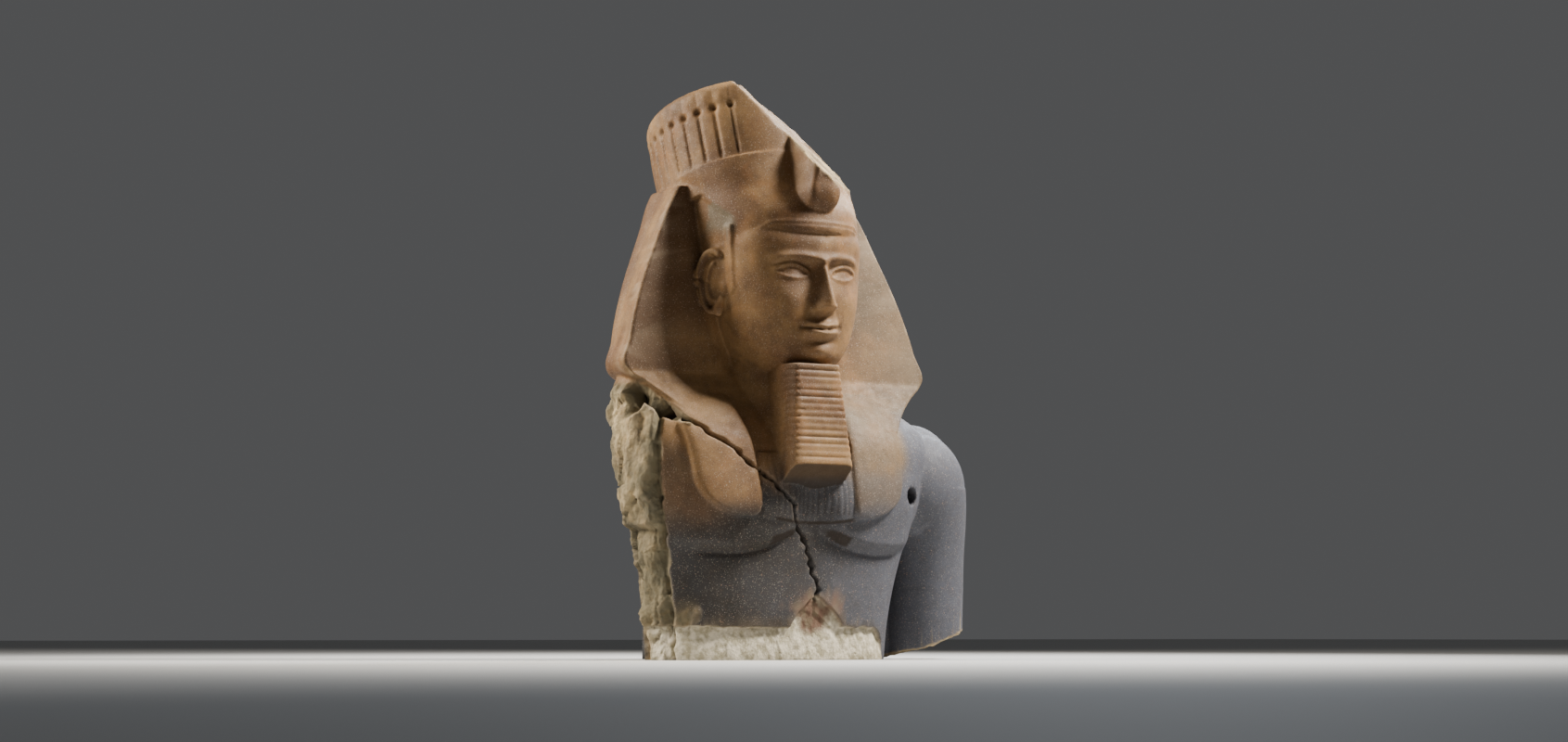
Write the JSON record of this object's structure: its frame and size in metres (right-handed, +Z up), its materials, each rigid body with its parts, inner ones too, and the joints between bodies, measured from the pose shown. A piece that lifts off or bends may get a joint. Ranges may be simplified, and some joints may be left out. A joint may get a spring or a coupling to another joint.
{
  "type": "pharaoh statue",
  "caption": "Colossal broken granite bust of a pharaoh in a plain royal headcloth with a cobra crown, a ribbed false beard and one arm, standing on its flat underside",
  "frame": {"origin": "bottom centre of the bounding box, on the flat underside", "axes": "+Z up, the figure faces -Y, its left hand side at +X"},
  "size_m": [1.9596, 1.1844, 2.6744],
  "materials": {
    "granite": "worn polished two-tone granite, rough on the breaks"
  },
  "bodies": {
    "root": {"pharaoh_statue": "granite"}
  },
  "joints": []
}
